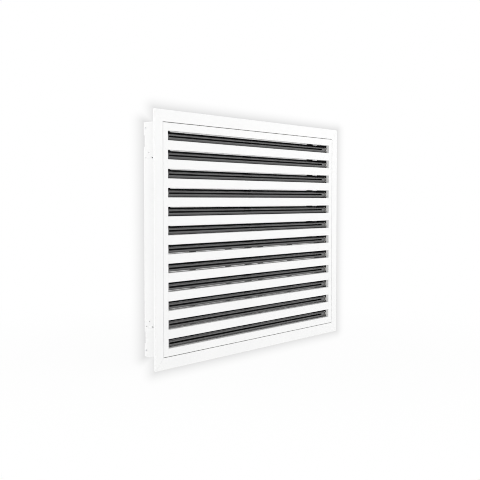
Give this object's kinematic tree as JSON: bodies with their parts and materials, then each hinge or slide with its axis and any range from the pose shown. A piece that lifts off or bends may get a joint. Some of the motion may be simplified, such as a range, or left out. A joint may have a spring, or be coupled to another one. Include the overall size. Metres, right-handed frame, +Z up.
{
  "type": "louvred air grille",
  "caption": "Flanged wall frame with a hinged louvred core; behind every slot a slotted roller turns to aim the air.",
  "frame": {"origin": "centre of the grille's overall box", "axes": "+X along the grille's width, +Y from the room into the wall (the face looks towards -Y), +Z up"},
  "size_m": [0.75, 0.052, 0.55],
  "materials": {
    "white_powder_coat": "fine satin powder coat, traffic white",
    "roller_plastic": "extruded black plastic, satin along the draw",
    "black_plastic": "moulded black plastic, fine texture",
    "bush_plastic": "natural acetal",
    "black_sheet": "matt black powder coat",
    "zinc_steel": "galvanised sheet with faint spangle",
    "rivet_aluminium": "satin",
    "steel_fastener": "bright zinc plate",
    "magnet_ferrite": "sintered, dull",
    "gasket_foam": "closed-cell foam"
  },
  "bodies": {
    "frame": {"frame_top": "white_powder_coat", "frame_bottom": "white_powder_coat", "frame_left": "white_powder_coat", "frame_right": "white_powder_coat", "corner_keys": "zinc_steel", "corner_rivets": "rivet_aluminium", "wall_gasket": "gasket_foam", "hinge_pins": "steel_fastener", "magnet_housings": "black_plastic", "catch_magnets": "magnet_ferrite", "housing_screws": "steel_fastener"},
    "core": {"core_top_rail": "white_powder_coat", "core_bottom_rail": "white_powder_coat", "core_left_stile": "white_powder_coat", "core_right_stile": "white_powder_coat", "strike_plates": "zinc_steel", "bearing_plate_left": "black_sheet", "bearing_plate_right": "black_sheet", "roller_bushes_left": "bush_plastic", "roller_bushes_right": "bush_plastic", "plate_screws": "steel_fastener", "centre_comb": "black_sheet", "equaliser_plate": "black_sheet", "equaliser_screws": "steel_fastener", "louvre_bar_01": "white_powder_coat", "louvre_bar_02": "white_powder_coat", "louvre_bar_03": "white_powder_coat", "louvre_bar_04": "white_powder_coat", "louvre_bar_05": "white_powder_coat", "louvre_bar_06": "white_powder_coat", "louvre_bar_07": "white_powder_coat", "louvre_bar_08": "white_powder_coat", "louvre_bar_09": "white_powder_coat", "louvre_bar_10": "white_powder_coat", "louvre_bar_11": "white_powder_coat"},
    "roller_body_01": {"roller_01": "roller_plastic", "roller_plugs_01": "black_plastic"},
    "roller_body_02": {"roller_02": "roller_plastic", "roller_plugs_02": "black_plastic"},
    "roller_body_03": {"roller_03": "roller_plastic", "roller_plugs_03": "black_plastic"},
    "roller_body_04": {"roller_04": "roller_plastic", "roller_plugs_04": "black_plastic"},
    "roller_body_05": {"roller_05": "roller_plastic", "roller_plugs_05": "black_plastic"},
    "roller_body_06": {"roller_06": "roller_plastic", "roller_plugs_06": "black_plastic"},
    "roller_body_07": {"roller_07": "roller_plastic", "roller_plugs_07": "black_plastic"},
    "roller_body_08": {"roller_08": "roller_plastic", "roller_plugs_08": "black_plastic"},
    "roller_body_09": {"roller_09": "roller_plastic", "roller_plugs_09": "black_plastic"},
    "roller_body_10": {"roller_10": "roller_plastic", "roller_plugs_10": "black_plastic"},
    "roller_body_11": {"roller_11": "roller_plastic", "roller_plugs_11": "black_plastic"},
    "roller_body_12": {"roller_12": "roller_plastic", "roller_plugs_12": "black_plastic"}
  },
  "joints": [
    {"name": "core_hinge", "type": "hinge", "parent": "frame", "child": "core", "pos_m": [-0.346, -0.023, 0], "axis": [0, 0, -1], "range_deg": [0, 90]},
    {"name": "roller_turn_01", "type": "hinge", "parent": "core", "child": "roller_body_01", "pos_m": [0, -0.0115, 0.21943], "axis": [1, 0, 0], "range_deg": [-32.5, 47.5]},
    {"name": "roller_turn_02", "type": "hinge", "parent": "core", "child": "roller_body_02", "pos_m": [0, -0.0115, 0.17917], "axis": [1, 0, 0], "range_deg": [-32.5, 47.5]},
    {"name": "roller_turn_03", "type": "hinge", "parent": "core", "child": "roller_body_03", "pos_m": [0, -0.0115, 0.13891], "axis": [1, 0, 0], "range_deg": [-32.5, 47.5]},
    {"name": "roller_turn_04", "type": "hinge", "parent": "core", "child": "roller_body_04", "pos_m": [0, -0.0115, 0.09865], "axis": [1, 0, 0], "range_deg": [-32.5, 47.5]},
    {"name": "roller_turn_05", "type": "hinge", "parent": "core", "child": "roller_body_05", "pos_m": [0, -0.0115, 0.05839], "axis": [1, 0, 0], "range_deg": [-32.5, 47.5]},
    {"name": "roller_turn_06", "type": "hinge", "parent": "core", "child": "roller_body_06", "pos_m": [0, -0.0115, 0.01813], "axis": [1, 0, 0], "range_deg": [-32.5, 47.5]},
    {"name": "roller_turn_07", "type": "hinge", "parent": "core", "child": "roller_body_07", "pos_m": [0, -0.0115, -0.02213], "axis": [1, 0, 0], "range_deg": [-32.5, 47.5]},
    {"name": "roller_turn_08", "type": "hinge", "parent": "core", "child": "roller_body_08", "pos_m": [0, -0.0115, -0.06239], "axis": [1, 0, 0], "range_deg": [-32.5, 47.5]},
    {"name": "roller_turn_09", "type": "hinge", "parent": "core", "child": "roller_body_09", "pos_m": [0, -0.0115, -0.10265], "axis": [1, 0, 0], "range_deg": [-32.5, 47.5]},
    {"name": "roller_turn_10", "type": "hinge", "parent": "core", "child": "roller_body_10", "pos_m": [0, -0.0115, -0.14291], "axis": [1, 0, 0], "range_deg": [-32.5, 47.5]},
    {"name": "roller_turn_11", "type": "hinge", "parent": "core", "child": "roller_body_11", "pos_m": [0, -0.0115, -0.18317], "axis": [1, 0, 0], "range_deg": [-32.5, 47.5]},
    {"name": "roller_turn_12", "type": "hinge", "parent": "core", "child": "roller_body_12", "pos_m": [0, -0.0115, -0.22343], "axis": [1, 0, 0], "range_deg": [-32.5, 47.5]}
  ]
}
